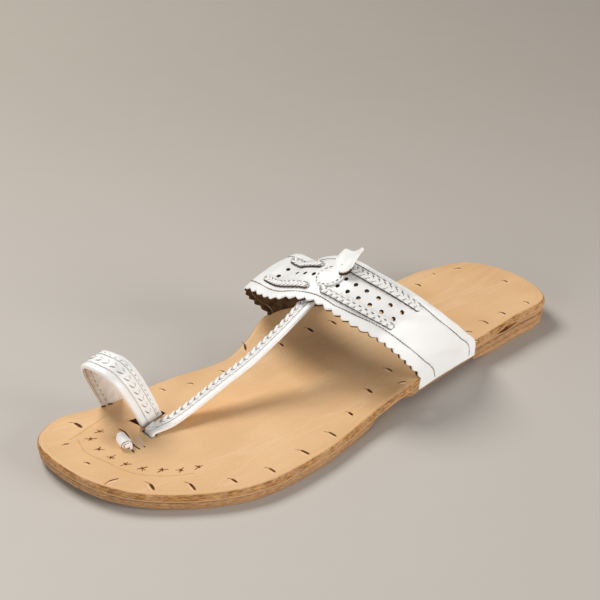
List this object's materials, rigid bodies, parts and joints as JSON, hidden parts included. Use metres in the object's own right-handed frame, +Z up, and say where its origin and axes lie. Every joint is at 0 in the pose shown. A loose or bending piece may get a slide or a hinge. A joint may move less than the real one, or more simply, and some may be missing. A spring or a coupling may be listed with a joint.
{
  "type": "toe ring sandal",
  "caption": "Flat left leather sandal with a wide punched and plaited instep strap, a centre strap, a toe ring and a stacked leather sole.",
  "frame": {"origin": "centre of the heel lift's underside across the sole, on the floor", "axes": "+Z up, +Y from the heel to the toe, +X to the big toe's side"},
  "size_m": [0.1005, 0.2632, 0.0664],
  "materials": {
    "tan_insole_leather": "smooth buff tan leather, soft sheen",
    "stacked_edge_leather": "dark brown dressed edge",
    "sole_leather": "brown sole leather, matt",
    "white_strap_leather": "white finished leather, fine grain",
    "white_braid_leather": "white plaited leather strip"
  },
  "bodies": {
    "root": {"insole": "tan_insole_leather", "heel_wedge": "stacked_edge_leather", "outsole": "sole_leather", "heel_lift": "stacked_edge_leather", "instep_strap": "white_strap_leather", "braid_outer_back": "white_braid_leather", "braid_outer_front": "white_braid_leather", "braid_inner_back": "white_braid_leather", "braid_inner_front": "white_braid_leather", "centre_disc": "white_strap_leather", "leaf_tab": "white_strap_leather", "centre_strap": "white_strap_leather", "toe_ring": "white_strap_leather", "toe_knot": "white_strap_leather"}
  },
  "joints": []
}
